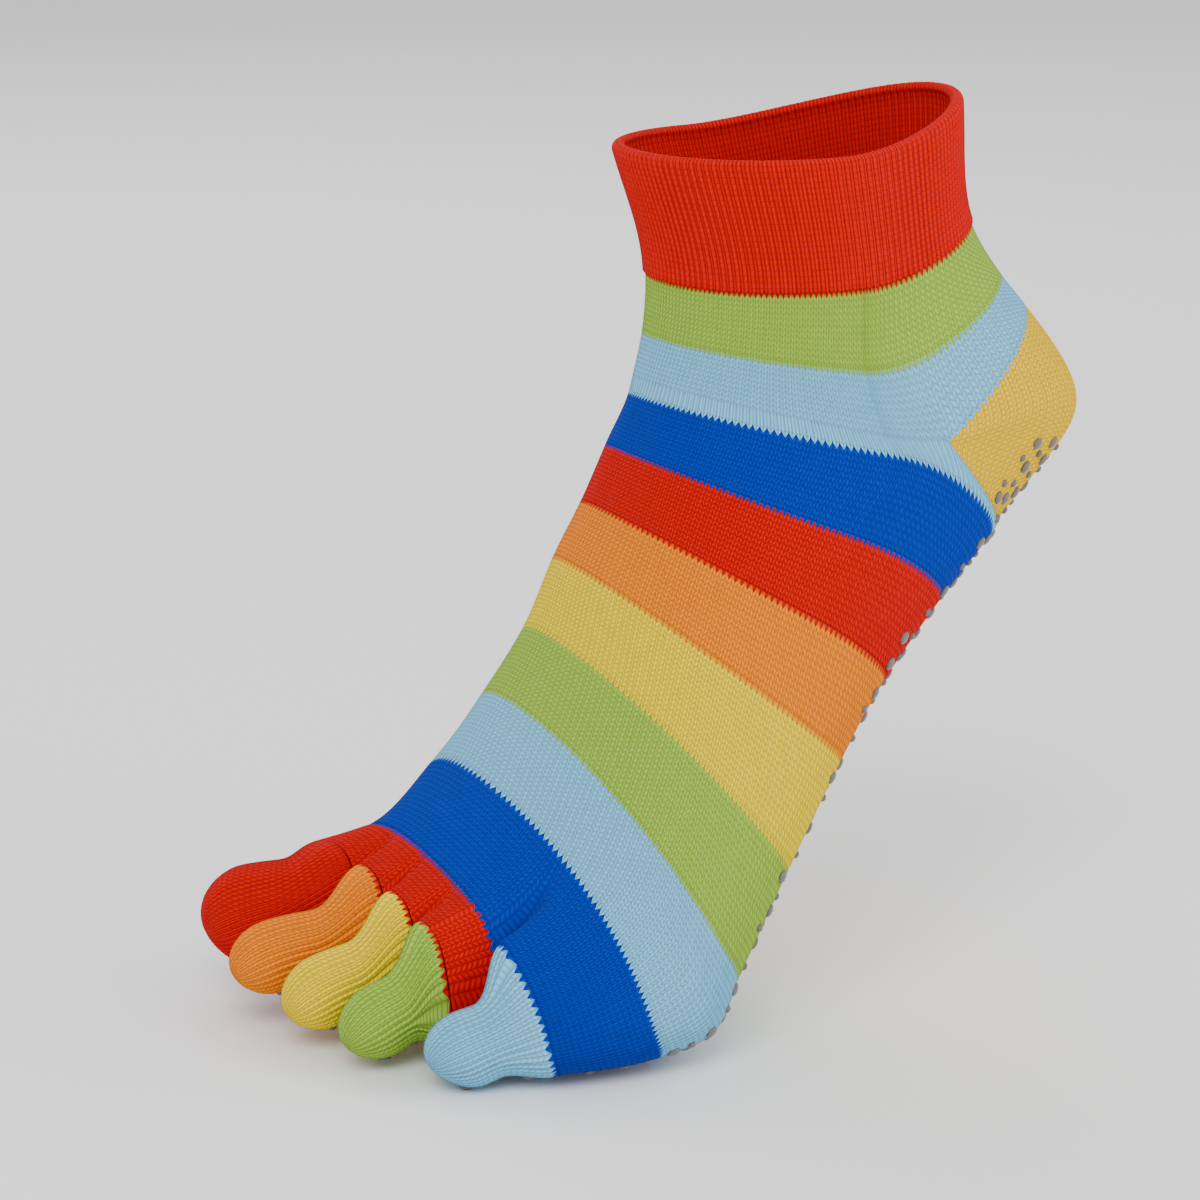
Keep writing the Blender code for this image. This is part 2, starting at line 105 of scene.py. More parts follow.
class Yarn(Enum):
    """A yarn colour as it looks, each channel 0 to 1."""

    RED = (0.84, 0.00, 0.03)
    ORANGE = (1.00, 0.54, 0.00)
    YELLOW = (1.00, 0.87, 0.00)
    HEEL_YELLOW = (1.00, 0.80, 0.00)
    GREEN = (0.62, 0.78, 0.28)
    SKY = (0.50, 0.80, 0.95)
    BLUE = (0.00, 0.23, 0.70)

    @property
    def slot(self) -> str:
        """The record's material slot of this yarn.

        Returns:
            The slot's name.
        """
        return "knit_" + self.name.lower()

    @property
    def linear(self) -> tuple[float, float, float, float]:
        """The colour for a shader socket.

        Returns:
            Red, green, blue and alpha, linear.
        """
        red, green, blue = (channel**2.2 for channel in self.value)
        return (red, green, blue, 1.0)


class Course(NamedTuple):
    """One course of the tube, in the shares that the part's table uses."""

    front_x: float
    front_z: float
    side_x: float
    side_z: float
    back_x: float
    back_z: float
    spread: float
    shift: float
    sweep: float
    tilt: float
    instep: float
    sole: float


COURSES = {
    "cuff_seam": Course(0.050, 0.667, 0.167, 0.671, 0.345, 0.713, 0.00, 0.00, 0.00, 0.00, 0.95, 0.95),
    "green_end": Course(0.046, 0.617, 0.171, 0.600, 0.382, 0.660, 0.00, 0.00, 0.00, 0.00, 0.95, 0.95),
    "heel_line": Course(0.033, 0.579, 0.192, 0.540, 0.391, 0.527, 0.03, 0.00, 0.00, 0.00, 0.95, 0.90),
    "sky_end": Course(0.029, 0.567, 0.200, 0.525, 0.367, 0.413, 0.05, 0.00, 0.00, 0.00, 0.95, 0.85),
    "blue_end": Course(0.008, 0.521, 0.163, 0.458, 0.308, 0.363, 0.12, 0.00, 0.00, 0.02, 0.95, 0.85),
    "red_end": Course(-0.013, 0.471, 0.121, 0.392, 0.238, 0.300, 0.23, 0.00, 0.00, 0.04, 0.95, 0.80),
    "orange_end": Course(-0.038, 0.421, 0.088, 0.321, 0.179, 0.246, 0.39, 0.00, 0.00, 0.07, 0.95, 0.80),
    "yellow_end": Course(-0.058, 0.358, 0.042, 0.242, 0.113, 0.163, 0.63, 0.00, 0.01, 0.10, 0.95, 0.80),
    "lime_end": Course(-0.088, 0.296, -0.008, 0.163, 0.050, 0.088, 0.91, 0.00, 0.02, 0.13, 0.92, 0.80),
    "ball_pad": Course(-0.105, 0.265, -0.035, 0.125, 0.018, 0.046, 0.98, 0.00, 0.03, 0.15, 0.90, 0.75),
    "pale_end": Course(-0.121, 0.233, -0.075, 0.106, -0.033, 0.036, 1.00, 0.00, 0.04, 0.16, 0.88, 0.78),
    "toe_line": Course(-0.178, 0.172, -0.159, 0.083, -0.121, 0.034, 0.83, -0.02, 0.02, 0.17, 0.92, 0.80),
    "web_line": Course(-0.214, 0.148, -0.205, 0.076, -0.165, 0.028, 0.78, -0.06, 0.03, 0.17, 0.76, 0.78),
}
FOOT_ROWS = list(COURSES)[3:]
HEEL_UPPER = (0.016, 0.104)
HEEL_LOWER = (-0.015, -0.107)
CUFF_LEAN = (-0.20, 0.98)


class ToeRow(NamedTuple):
    """One toe, in the shares that the part's table uses."""

    name: str
    yarn: Yarn
    web: float
    tip_x: float
    tip_out: float
    tip_z: float
    half_width: float
    half_height: float
    lift: float
    dot_columns: int
    dot_rows: int


TOES = (
    ToeRow("toe_big", Yarn.RED, -0.40, -0.311, -0.557, 0.066, 0.138, 0.110, 0.00, 4, 6),
    ToeRow("toe_second", Yarn.ORANGE, -0.07, -0.324, -0.310, 0.053, 0.078, 0.090, 0.01, 2, 4),
    ToeRow("toe_third", Yarn.YELLOW, 0.25, -0.305, -0.110, 0.037, 0.080, 0.090, 0.01, 2, 4),
    ToeRow("toe_fourth", Yarn.GREEN, 0.57, -0.283, 0.088, 0.029, 0.080, 0.090, 0.00, 2, 3),
    ToeRow("toe_little", Yarn.SKY, 1.00, -0.238, 0.285, 0.027, 0.092, 0.092, -0.01, 2, 3),
)
TOE_BULB = 0.70
TOE_WAIST = 0.88
TOE_DOME = 1.15
TOE_NOD = 0.35
TOE_BLEND = 0.45
LOOK_AHEAD = 0.02
FOURTH = 3
LITTLE = 4
MOUTH_POINTS = 40


@dataclass(frozen=True)
class Band:
    """A stripe of the tube: its name, yarns, and the courses that it runs through."""

    name: str
    yarn: Yarn
    before: Yarn
    courses: tuple[str, ...]


BANDS = (
    Band("band_leg_green", Yarn.GREEN, Yarn.RED, ("cuff_seam", "green_end")),
    Band("band_instep_blue", Yarn.BLUE, Yarn.SKY, ("sky_end", "blue_end")),
    Band("band_instep_red", Yarn.RED, Yarn.BLUE, ("blue_end", "red_end")),
    Band("band_arch_orange", Yarn.ORANGE, Yarn.RED, ("red_end", "orange_end")),
    Band("band_arch_yellow", Yarn.YELLOW, Yarn.ORANGE, ("orange_end", "yellow_end")),
    Band("band_arch_green", Yarn.GREEN, Yarn.YELLOW, ("yellow_end", "lime_end")),
    Band("band_ball_sky", Yarn.SKY, Yarn.GREEN, ("lime_end", "ball_pad", "pale_end")),
    Band("band_ball_blue", Yarn.BLUE, Yarn.SKY, ("pale_end", "toe_line")),
)


def power_of(values: np.ndarray, power: np.ndarray) -> np.ndarray:
    """Raises signed values to a power.

    Args:
        values: The values, from -1 to 1.
        power: The power, one number or one for each value.

    Returns:
        The values' powers with their signs kept.
    """
    return np.sign(values) * np.abs(values) ** power


def unit(vectors: np.ndarray) -> np.ndarray:
    """Scales vectors to length 1.

    Args:
        vectors: Vectors along the last axis.

    Returns:
        The unit vectors.
    """
    length = np.linalg.norm(vectors, axis=-1, keepdims=True)
    return vectors / np.maximum(length, 1e-9)


def chord_directions(points: np.ndarray) -> np.ndarray:
    """Directions at each of a run of points, like the tangent of a circle through three.

    Args:
        points: Points along the first axis.

    Returns:
        Unit directions of the same shape.
    """
    steps = points[1:] - points[:-1]
    lengths = np.maximum(np.linalg.norm(steps, axis=-1, keepdims=True), 1e-9)
    ways = steps / lengths
    inner = ways[:-1] * lengths[1:] + ways[1:] * lengths[:-1]
    return unit(np.concatenate([ways[:1], inner, ways[-1:]]))


def curve_between(start: np.ndarray, start_way: np.ndarray, end: np.ndarray, end_way: np.ndarray,
                  share: float, fullness: float = COURSE_FULLNESS) -> np.ndarray:
    """A point on a cubic curve that leaves and arrives along given directions.

    Args:
        start: Where the curve starts.
        start_way: The direction in which it leaves.
        end: Where it ends.
        end_way: The direction in which it arrives.
        share: How far along the curve, 0 to 1.
        fullness: How far the curve keeps to its end directions.

    Returns:
        The curve's points.
    """
    reach = np.linalg.norm(end - start, axis=-1, keepdims=True) * fullness
    near = start + start_way * reach
    far = end - end_way * reach
    left = 1 - share
    return (left**3 * start + 3 * left**2 * share * near
            + 3 * left * share**2 * far + share**3 * end)


def surface_normals(rows: np.ndarray) -> np.ndarray:
    """Outward normals of rows of points that close round a tube.

    Args:
        rows: Points, row by row.

    Returns:
        Unit normals of the same shape.
    """
    round_way = np.roll(rows, -1, axis=1) - np.roll(rows, 1, axis=1)
    down_way = np.gradient(rows, axis=0)
    return unit(np.cross(down_way, round_way))


def course_at(course: Course, rise: np.ndarray, out: np.ndarray) -> np.ndarray:
    """Points of a course from its own coordinates.

    Args:
        course: The course's row.
        rise: 1 at the shin and -1 at the sole.
        out: -1 at the big-toe side and 1 at the little-toe side.

    Returns:
        The points.
    """
    front = np.array([course.front_x, course.front_z]) * FOOT_LENGTH
    side = np.array([course.side_x, course.side_z]) * FOOT_LENGTH
    back = np.array([course.back_x, course.back_z]) * FOOT_LENGTH
    slope = front - side
    bow = np.where(rise < 0, rise**2, 0.0)
    view = side + rise[..., None] * slope + bow[..., None] * (back - side + slope)
    half = (ANKLE_WIDTH + course.spread * (BALL_WIDTH - ANKLE_WIDTH)) / 2
    x = view[..., 0] + course.sweep * BALL_WIDTH * out / 2
    y = -(half * out + course.shift * BALL_WIDTH)
    z = view[..., 1] - course.tilt * half * out
    return np.stack([x, y, z], axis=-1)


def toe_span(index: int) -> tuple[float, float]:
    """The inner and outer web of a toe.

    Args:
        index: The toe, 0 for the big toe.

    Returns:
        Both webs, in half widths from the middle of the course.
    """
    inner = TOES[index - 1].web if index else -1.0
    return inner, TOES[index].web


def lobe(out: np.ndarray) -> np.ndarray:
    """Height of the toes' rounded backs.

    Args:
        out: Places across the course, from -1 to 1.

    Returns:
        1 over the middle of a toe and 0 at a web.
    """
    height = np.ones_like(out)
    for index in range(len(TOES)):
        inner, outer = toe_span(index)
        middle = (inner + outer) / 2
        part = np.clip(np.abs(out - middle) / (outer - inner) * 2, 0, 1)
        rounded = (1 - part ** (2 / WEB_SQUARENESS)) ** (WEB_SQUARENESS / 2)
        free = (index == 0) & (out < middle) | (index == LITTLE) & (out > middle)
        here = (out >= inner) & (out <= outer) & ~free
        height = np.where(here, rounded, height)
    return height


def course_round(name: str, angle: np.ndarray) -> np.ndarray:
    """A course's points at a set of angles round the tube.

    Args:
        name: The course's name.
        angle: 0 at the shin, a quarter turn at the little-toe side.

    Returns:
        The points.
    """
    course = COURSES[name]
    power = np.where(np.cos(angle) > 0, course.instep, course.sole)
    rise, out = power_of(np.cos(angle), power), power_of(np.sin(angle), power)
    if name == "toe_line":
        inner, outer = sum(toe_span(FOURTH)) / 2, sum(toe_span(LITTLE)) / 2
        near_web = (out > inner) & (out < outer)
        rise = np.where(near_web, rise * np.maximum(lobe(out), 1 - WEB_DEPTH), rise)
    return course_at(course, rise, out)


def heel_share(angle: np.ndarray) -> np.ndarray:
    """How open the heel wedge is.

    Args:
        angle: Angles round the tube.

    Returns:
        0 up to the wedge's corner and 1 at the back.
    """
    from_front = np.minimum(angle % (2 * math.pi), 2 * math.pi - angle % (2 * math.pi))
    part = np.clip((from_front - HEEL_CORNER) / (math.pi - HEEL_CORNER), 0, 1)
    return np.sin(part * math.pi / 2)


def heel_edge(angle: np.ndarray, offset: tuple[float, float]) -> np.ndarray:
    """The heel line, opened by the heel pocket's offset at the back.

    Args:
        angle: Angles round the tube.
        offset: How far the edge stands off the line at the back, x and z.

    Returns:
        The edge's points.
    """
    share = heel_share(angle)[..., None]
    move = np.array([offset[0], 0, offset[1]]) * FOOT_LENGTH
    return course_round("heel_line", angle) + share * move


def mouth_round(angle: np.ndarray) -> np.ndarray:
    """The sock's mouth: the cuff seam carried up the leg and flared.

    Args:
        angle: Angles round the tube.

    Returns:
        The mouth's points.
    """
    lean = np.array([CUFF_LEAN[0], 0, CUFF_LEAN[1]]) * CUFF_HEIGHT
    flare = np.stack([-np.cos(angle), -np.sin(angle), np.zeros_like(angle)], axis=-1) * CUFF_FLARE
    return course_round("cuff_seam", angle) + lean + flare


def even_angles(count: int, course: str = "red_end") -> np.ndarray:
    """Angles round the tube that space the wales evenly along a course.

    Args:
        count: How many angles.
        course: The course that they are even on.

    Returns:
        The angles, starting at the shin.
    """
    fine = np.linspace(0, 2 * math.pi, 4001)
    points = course_round(course, fine)
    run = np.concatenate([[0], np.cumsum(np.linalg.norm(np.diff(points, axis=0), axis=1))])
    return np.interp(np.arange(count) / count * run[-1], run, fine)


def mouth_centre() -> np.ndarray:
    """The middle of the mouth, which is the frame's origin.

    Returns:
        Its place in the coordinates of the courses.
    """
    rim = mouth_round(np.arange(MOUTH_POINTS) * 2 * math.pi / MOUTH_POINTS)
    return (rim.max(axis=0) + rim.min(axis=0)) / 2


def wale_wave(place: np.ndarray) -> np.ndarray:
    """How far the knit lies below the crest of its wales.

    Args:
        place: Places round the tube, counted in wales.

    Returns:
        0 on a crest and -1 in a groove.
    """
    return (0.5 - 0.5 * np.cos(2 * math.pi * place)) - 1.0


def course_numbers(rows: np.ndarray) -> np.ndarray:
    """How many courses of knitting lie before each row.

    Args:
        rows: A skin's points, row by row.

    Returns:
        A number for each row.
    """
    steps = np.linalg.norm(np.diff(rows, axis=0), axis=-1).mean(axis=1)
    return np.concatenate([[0], np.cumsum(steps)]) / COURSE_PITCH


class Tube:
    """The tube's courses, and the directions in which it runs through them, at some angles."""

    def __init__(self, angle: np.ndarray) -> None:
        """Works out every course.

        Args:
            angle: Angles round the tube.
        """
        self.share = heel_share(angle)[..., None]
        upper = heel_edge(angle, HEEL_UPPER)
        lower = heel_edge(angle, HEEL_LOWER)
        leg = [mouth_round(angle), course_round("cuff_seam", angle), course_round("green_end", angle)]
        foot = [course_round(name, angle) for name in FOOT_ROWS]
        above = chord_directions(np.stack(leg + [upper]))
        below = chord_directions(np.stack(foot))
        across = chord_directions(np.stack(leg + [upper] + foot))
        upper_way = unit((1 - self.share) * across[3] + self.share * above[3])
        lower_way = unit((1 - self.share) * across[3] + self.share * below[0])
        below[0] = unit((1 - self.share) * across[4] + self.share * below[0])
        names = ["mouth", "cuff_seam", "green_end", "upper", "lower"] + FOOT_ROWS
        self.points = dict(zip(names, leg + [upper, lower] + foot))
        self.ways = dict(zip(names, list(above[:3]) + [upper_way, lower_way] + list(below)))

    def strip(self, first: str, last: str, fullness: float = COURSE_FULLNESS) -> np.ndarray:
        """Rows of points from one course to another, a row about every ROW_PITCH.

        Args:
            first: The course that it starts at.
            last: The course that it ends at.
            fullness: How far the knit keeps to its end directions.

        Returns:
            Points, row by row.
        """
        start, end = self.points[first], self.points[last]
        length = np.linalg.norm(end - start, axis=-1).max()
        count = max(int(round(length / ROW_PITCH)), 2)
        rows = [curve_between(start, self.ways[first], end, self.ways[last], i / count, fullness)
                for i in range(count + 1)]
        return np.stack(rows)


class Shader:
    """Builds one node material."""

    def __init__(self, name: str) -> None:
        """Makes the material with its Principled shader.

        Args:
            name: The material's name.
        """
        self.material = bpy.data.materials.new(name)
        self.material.use_nodes = True
        self.nodes = self.material.node_tree.nodes
        self.links = self.material.node_tree.links
        self.surface = self.nodes["Principled BSDF"]

    def put(self, socket: bpy.types.NodeSocket, value: object) -> None:
        """Links a socket, or sets it to a value.

        Args:
            socket: The input.
            value: Another node's output, or a plain value.
        """
        if isinstance(value, bpy.types.NodeSocket):
            self.links.new(value, socket)
        else:
            socket.default_value = value

    def math(self, operation: str, *values: object, clamp: bool = False) -> bpy.types.NodeSocket:
        """Adds a math node.

        Args:
            operation: The node's operation.
            values: Its inputs.
            clamp: Whether the result is kept from 0 to 1.

        Returns:
            The result.
        """
        node = self.nodes.new("ShaderNodeMath")
        node.operation = operation
        node.use_clamp = clamp
        for socket, value in zip(node.inputs, values):
            self.put(socket, value)
        return node.outputs[0]

    def attribute(self, name: str) -> bpy.types.NodeSocket:
        """Reads a number kept on the mesh.

        Args:
            name: The attribute's name.

        Returns:
            Its value.
        """
        node = self.nodes.new("ShaderNodeAttribute")
        node.attribute_name = name
        return node.outputs["Fac"]

    def noise(self, scale: float, detail: float = 2.0) -> bpy.types.NodeSocket:
        """Adds noise in the object's own coordinates.

        Args:
            scale: The noise's scale, per metre.
            detail: Its detail.

        Returns:
            The noise, about 0 to 1.
        """
        place = self.nodes.new("ShaderNodeTexCoord")
        node = self.nodes.new("ShaderNodeTexNoise")
        self.links.new(place.outputs["Object"], node.inputs["Vector"])
        node.inputs["Scale"].default_value = scale
        node.inputs["Detail"].default_value = detail
        return node.outputs["Fac"]

    def mix(self, share: object, first: object, second: object, kind: str = "MIX") -> bpy.types.NodeSocket:
        """Mixes two colours.

        Args:
            share: How much of the second.
            first: The first colour.
            second: The second colour.
            kind: How they mix.

        Returns:
            The mixed colour.
        """
        node = self.nodes.new("ShaderNodeMix")
        node.data_type = "RGBA"
        node.blend_type = kind
        self.put(node.inputs[0], share)
        self.put(node.inputs[6], first)
        self.put(node.inputs[7], second)
        return node.outputs[2]


@dataclass(frozen=True)
class KnitFinish:
    """A knitted surface: its yarn, the yarn that its first stitches share, and the painted shade between its
    stitches.
    """

    yarn: Yarn
    before: Yarn
    wales: float
    # groove: how bright the yarn stays at the bottom of the painted shade between stitches, 1 for no shade
    groove: float = 0.55
    lean: float = 0.65
    tooth: float = 1.1
    loop_power: float = 0.7
    leg_power: float = 0.6
    fibre_scale: float = 5200.0
    fibre_share: float = 0.35
    bump_strength: float = 0.75
    bump_height: float = 0.00035
    mottle_scale: float = 420.0
    mottle_share: float = 0.2
    roughness: float = 0.95
    specular: float = 0.05
    sheen: float = 0.03
    sheen_roughness: float = 0.5

    def material(self, name: str) -> bpy.types.Material:
        """Makes the material.

        Args:
            name: The piece's name.

        Returns:
            The material.
        """
        shade = Shader(name + "_knit")
        uv = shade.nodes.new("ShaderNodeUVMap")
        split = shade.nodes.new("ShaderNodeSeparateXYZ")
        shade.links.new(uv.outputs[0], split.inputs[0])
        wale = shade.math("FRACT", shade.math("MULTIPLY", split.outputs[0], float(self.wales)))
        off = shade.math("ABSOLUTE", shade.math("SUBTRACT", wale, 0.5))
        off = shade.math("MULTIPLY", off, 2.0)
        course = shade.attribute("course")
        lean = shade.math("MULTIPLY", off, self.lean)
        phase = shade.math("FRACT", shade.math("ADD", course, lean))
        leg = shade.math("SINE", shade.math("MULTIPLY", off, math.pi))
        leg = shade.math("POWER", shade.math("MAXIMUM", leg, 0.0), self.leg_power)
        loop = shade.math("SINE", shade.math("MULTIPLY", phase, math.pi))
        loop = shade.math("POWER", shade.math("MAXIMUM", loop, 0.0), self.loop_power)
        height = shade.math("MULTIPLY", leg, loop)
        fibre = shade.noise(self.fibre_scale, 3.0)
        raised = shade.math("ADD", height, shade.math("MULTIPLY", fibre, self.fibre_share))
        bump = shade.nodes.new("ShaderNodeBump")
        bump.inputs["Strength"].default_value = self.bump_strength
        bump.inputs["Distance"].default_value = self.bump_height
        shade.put(bump.inputs["Height"], raised)
        tooth = shade.math("MULTIPLY", shade.math("SUBTRACT", 1.0, off), self.tooth)
        early = shade.math("LESS_THAN", course, tooth)
        colour = shade.mix(early, self.yarn.linear, self.before.linear)
        mottle = shade.math("MULTIPLY", shade.noise(self.mottle_scale, 4.0), self.mottle_share)
        mottle = shade.math("ADD", 1.0 - self.mottle_share / 2, mottle)
        # Painted shade: the yarn is darkened where the stitch height is low, in the grooves and gaps between
        # stitches; the mottle is the yarn's own uneven tone
        stitch_gap_shade = shade.math("ADD", self.groove, shade.math("MULTIPLY", height, 1.0 - self.groove))
        tone = shade.math("MULTIPLY", mottle, stitch_gap_shade)
        grey = shade.nodes.new("ShaderNodeCombineXYZ")
        for socket in grey.inputs:
            shade.put(socket, tone)
        colour = shade.mix(1.0, colour, grey.outputs[0], "MULTIPLY")
        shade.put(shade.surface.inputs["Base Color"], colour)
        shade.put(shade.surface.inputs["Normal"], bump.outputs[0])
        shade.put(shade.surface.inputs["Roughness"], self.roughness)
        shade.put(shade.surface.inputs["Specular IOR Level"], self.specular)
        shade.put(shade.surface.inputs["Sheen Weight"], self.sheen)
        shade.put(shade.surface.inputs["Sheen Roughness"], self.sheen_roughness)
        return shade.material


@dataclass(frozen=True)
class RubberFinish:
    """The grip dots' silicone rubber."""

    colour: tuple[float, float, float, float] = (0.13, 0.12, 0.11, 1.0)
    mottle_scale: float = 700.0
    mottle_share: float = 0.2
    roughness: float = 0.38

    def material(self, name: str) -> bpy.types.Material:
        """Makes the material.

        Args:
            name: The piece's name.

        Returns:
            The material.
        """
        shade = Shader(name + "_rubber")
        mottle = shade.math("MULTIPLY", shade.noise(self.mottle_scale), self.mottle_share)
        tone = shade.math("ADD", 1.0 - self.mottle_share / 2, mottle)
        grey = shade.nodes.new("ShaderNodeCombineXYZ")
        for socket in grey.inputs:
            shade.put(socket, tone)
        shade.put(shade.surface.inputs["Base Color"],
                  shade.mix(1.0, self.colour, grey.outputs[0], "MULTIPLY"))
        shade.put(shade.surface.inputs["Roughness"], self.roughness)
        return shade.material


@dataclass(frozen=True)
class FloorFinish:
    """The studio floor."""

    tone: float = 0.96
    roughness: float = 0.9

    def material(self, name: str) -> bpy.types.Material:
        """Makes the material.

        Args:
            name: The piece's name.

        Returns:
            The material.
        """
        shade = Shader(name + "_paper")
        shade.put(shade.surface.inputs["Base Color"], (self.tone, self.tone, self.tone, 1.0))
        shade.put(shade.surface.inputs["Roughness"], self.roughness)
        return shade.material


def deselect() -> None:
    """Leaves nothing selected and no object in edit mode."""
    if bpy.context.object and bpy.context.object.mode != "OBJECT":
        bpy.ops.object.mode_set(mode="OBJECT")
    bpy.ops.object.select_all(action="DESELECT")


class KnitPiece:
    """A knitted shell with its stitches raised, which stands for one node of the frame."""

    def __init__(self, node: str, finish: KnitFinish, relief: float = WALE_RELIEF,
                 wall: float = KNIT_WALL) -> None:
        """Keeps what the piece is.

        Args:
            node: The frame's node that it stands for, and its own name.
            finish: Its knitted surface.
            relief: How far a wale stands out.
            wall: The knit's thickness.
        """
        self.node = node
        self.finish = finish
        self.relief = relief
        self.wall = wall
        self.skin: Optional[np.ndarray] = None

    def raised(self, rows: np.ndarray, normals: np.ndarray, fade: Optional[np.ndarray] = None) -> np.ndarray:
        """Raises the wales on an outer skin.

        Args:
            rows: The skin's points, row by row.
            normals: Its outward normals.
            fade: How much of the relief each row has.

        Returns:
            The raised points.
        """
        columns = rows.shape[1]
        place = np.arange(columns) / columns * self.finish.wales
        wave = wale_wave(place)
        strength = np.ones(len(rows)) if fade is None else fade
        return rows + normals * (strength[:, None] * wave)[..., None] * self.relief

    def drawn_grid(self, points: np.ndarray, course: np.ndarray, name: str) -> bpy.types.Object:
        """A grid whose points lie where they are told, with their course numbers.

        Args:
            points: Points, row by row.
            course: Each point's course number.
            name: The object's name.

        Returns:
            The grid.
        """
        height, width = points.shape[:2]
        deselect()
        bpy.ops.mesh.primitive_grid_add(x_subdivisions=width - 1, y_subdivisions=height - 1,
                                        location=(0, 0, 0), rotation=(0, 0, 0))
        grid = bpy.context.object
        grid.name = name
        placed = points - mouth_centre()
        grid.data.vertices.foreach_set("co", placed.astype(np.float32).ravel())
        attribute = grid.data.attributes.new("course", "FLOAT", "POINT")
        attribute.data.foreach_set("value", course.astype(np.float32).ravel())
        grid.data.update()
        return grid

    def loops_to_ring(self, loops: np.ndarray, course: np.ndarray, name: str) -> bpy.types.Object:
        """Turns closed loops of points into a ring, from a grid that is drawn round and merged.

        Args:
            loops: Points, loop by loop round the wall and column by column round the tube.
            course: Each loop's course number, or one for each point.
            name: The object's name.

        Returns:
            The ring.
        """
        numbers = np.broadcast_to(course.reshape(len(loops), -1), loops.shape[:2])
        wrapped = np.concatenate([loops, loops[:1]])
        wrapped = np.concatenate([wrapped, wrapped[:, :1]], axis=1)
        numbers = np.concatenate([numbers, numbers[:1]])
        numbers = np.concatenate([numbers, numbers[:, :1]], axis=1)
        ring = self.drawn_grid(wrapped, numbers, name)
        bpy.ops.object.mode_set(mode="EDIT")
        bpy.ops.mesh.select_all(action="SELECT")
        bpy.ops.mesh.remove_doubles(threshold=1e-6)
        bpy.ops.mesh.delete_loose(use_verts=True, use_edges=True, use_faces=False)
        bpy.ops.mesh.select_all(action="SELECT")
        bpy.ops.mesh.normals_make_consistent(inside=False)
        bpy.ops.object.mode_set(mode="OBJECT")
        return ring

    def shell(self, rows: np.ndarray, name: str) -> bpy.types.Object:
        """A ring with an outer skin of raised stitches and a plain lining.

        Args:
            rows: The outer skin's points, row by row.
            name: The object's name.

        Returns:
            The shell.
        """
        normals = surface_normals(rows)
        self.skin = rows
        outer = self.raised(rows, normals)
        picks = np.linspace(len(rows) - 1, 0, LINING_ROWS).round().astype(int)
        lining = rows[picks] - normals[picks] * self.wall
        run = course_numbers(rows)
        course = np.concatenate([run, run[picks]])
        return self.loops_to_ring(np.concatenate([outer, lining]), course, name)

    def finish_up(self, piece: bpy.types.Object, flat: tuple[float, float]) -> bpy.types.Object:
        """Gives a finished piece its look and its place in the frame.

        Args:
            piece: The piece.
            flat: The knit's flat width and length. Not used.

        Returns:
            The piece.
        """
        piece.data.materials.clear()
        piece.data.materials.append(self.finish.material(self.node))
        piece.data.shade_smooth()
        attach(piece, "root")
        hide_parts(self.node)
        log.info("%s: %d faces", piece.name, len(piece.data.polygons))
        return piece

    def flat_size(self, rows: np.ndarray) -> tuple[float, float]:
        """The flat width and length of a tube of knit.

        Args:
            rows: The tube's points, row by row.

        Returns:
            The width round the tube and the length along it.
        """
        around = np.linalg.norm(np.roll(rows, -1, axis=1) - rows, axis=-1).sum(axis=1).mean()
        along = np.linalg.norm(np.diff(rows, axis=0), axis=-1).sum(axis=0).mean()
        return round(float(around), 3), round(float(along), 3)


class StripeBand(KnitPiece):
    """One stripe of the tube."""

    def build(self, band: Band, tube: Tube) -> bpy.types.Object:
        """Makes the stripe.

        Args:
            band: The stripe's courses.
            tube: The tube at the wales' angles.

        Returns:
            The piece.
        """
        rows = tube.strip(band.courses[0], band.courses[1])
        for first, last in zip(band.courses[1:-1], band.courses[2:]):
            rows = np.concatenate([rows, tube.strip(first, last)[1:]])
        return self.finish_up(self.shell(rows, "knit_" + self.node), self.flat_size(rows))


class AnkleBand(KnitPiece):
    """The stripe that the heel pocket interrupts."""

    # Past the last tooth, so that the ring under the heel has none of the other yarn
    COURSE_UNDER_HEEL = 9.0

    def build(self, tube: Tube) -> bpy.types.Object:
        """Makes the stripe in two rings, over and under the heel, and joins them.

        Args:
            tube: The tube at the wales' angles.

        Returns:
            The piece.
        """
        above = tube.strip("green_end", "upper")
        below = tube.strip("lower", "sky_end")
        flat = self.flat_size(above)
        flat = (flat[0], round(flat[1] + self.flat_size(below)[1], 3))
        upper = self.shell(above, "knit_" + self.node)
        lower = self.shell(below, "under_heel")
        numbers = lower.data.attributes["course"]
        numbers.data.foreach_set("value", [self.COURSE_UNDER_HEEL] * len(lower.data.vertices))
        deselect()
        lower.select_set(True)
        upper.select_set(True)
        bpy.context.view_layer.objects.active = upper
        bpy.ops.object.join()
        return self.finish_up(upper, flat)


